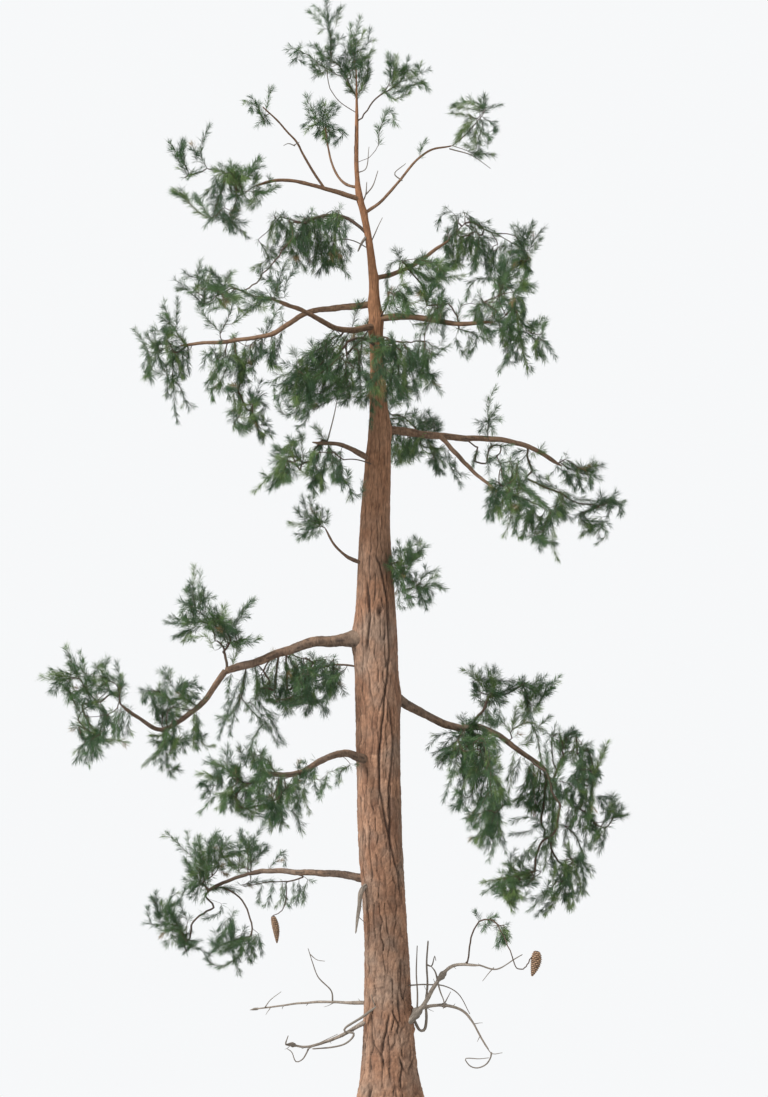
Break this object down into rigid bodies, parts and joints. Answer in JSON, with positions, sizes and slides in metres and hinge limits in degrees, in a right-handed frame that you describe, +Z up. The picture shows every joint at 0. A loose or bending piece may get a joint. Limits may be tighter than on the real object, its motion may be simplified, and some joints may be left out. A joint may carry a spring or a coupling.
{
  "type": "pine tree",
  "caption": "Tall old pine with a bare tapering trunk, long level boughs, separate tufted clusters of needles and dead limbs near the foot",
  "frame": {"origin": "centre of the flat cut under the trunk at ground level", "axes": "+Z up along the trunk; +X to the right in the picture's view; +Y away from the viewer"},
  "size_m": [10.43, 7.75, 20.63],
  "materials": {
    "trunk_bark": "rough plated bark, red-brown with dark furrows",
    "bough_bark": "rough scaly bark",
    "dead_wood": "weathered grey bare wood",
    "needles": "slightly waxy green needles"
  },
  "bodies": {
    "root": {"trunk": "trunk_bark", "bough_top_left": "bough_bark", "bough_top_left_fork": "bough_bark", "bough_top_rising": "bough_bark", "bough_top_right": "bough_bark", "bough_high_back_right": "bough_bark", "bough_high_right": "bough_bark", "bough_high_front_left": "bough_bark", "bough_high_left": "bough_bark", "bough_short_left": "bough_bark", "bough_upper_right": "bough_bark", "bough_upper_right_fork": "bough_bark", "bough_spur_left": "bough_bark", "bough_long_left": "bough_bark", "bough_long_left_outer": "bough_bark", "bough_low_front_left": "bough_bark", "bough_low_back_left": "bough_bark", "bough_long_right": "bough_bark", "bough_dead_right": "dead_wood", "bough_dead_droop": "dead_wood", "bough_dead_left": "dead_wood", "bough_broken": "dead_wood", "bough_dead_back_left": "dead_wood", "needles_leader": "needles", "needles_top_left": "needles", "needles_top_right": "needles", "needles_branch_top_left": "needles", "needles_beside_leader": "needles", "needles_top_far_right": "needles", "needles_top_left_wing": "needles", "needles_top_far_left": "needles", "needles_under_top_left": "needles", "needles_high_back_right": "needles", "needles_high_right_inner": "needles", "needles_high_right_outer": "needles", "needles_high_front_left": "needles", "needles_high_far_left": "needles", "needles_under_high_left": "needles", "needles_fan_front_left": "needles", "needles_front": "needles", "needles_high_back": "needles", "needles_short_left": "needles", "needles_upper_right_inner": "needles", "needles_upper_right_hanging": "needles", "needles_upper_right_tip": "needles", "needles_spur_left": "needles", "needles_spur_right": "needles", "needles_on_long_left": "needles", "needles_far_left": "needles", "needles_long_left_bend": "needles", "needles_under_long_left": "needles", "needles_front_left_low": "needles", "needles_back_left_low": "needles", "needles_back_left_far": "needles", "needles_back_left_hanging": "needles", "needles_long_right_top": "needles", "needles_long_right_inner": "needles", "needles_long_right_outer": "needles", "needles_long_right_low": "needles", "needles_lowest_right": "needles"}
  },
  "joints": []
}
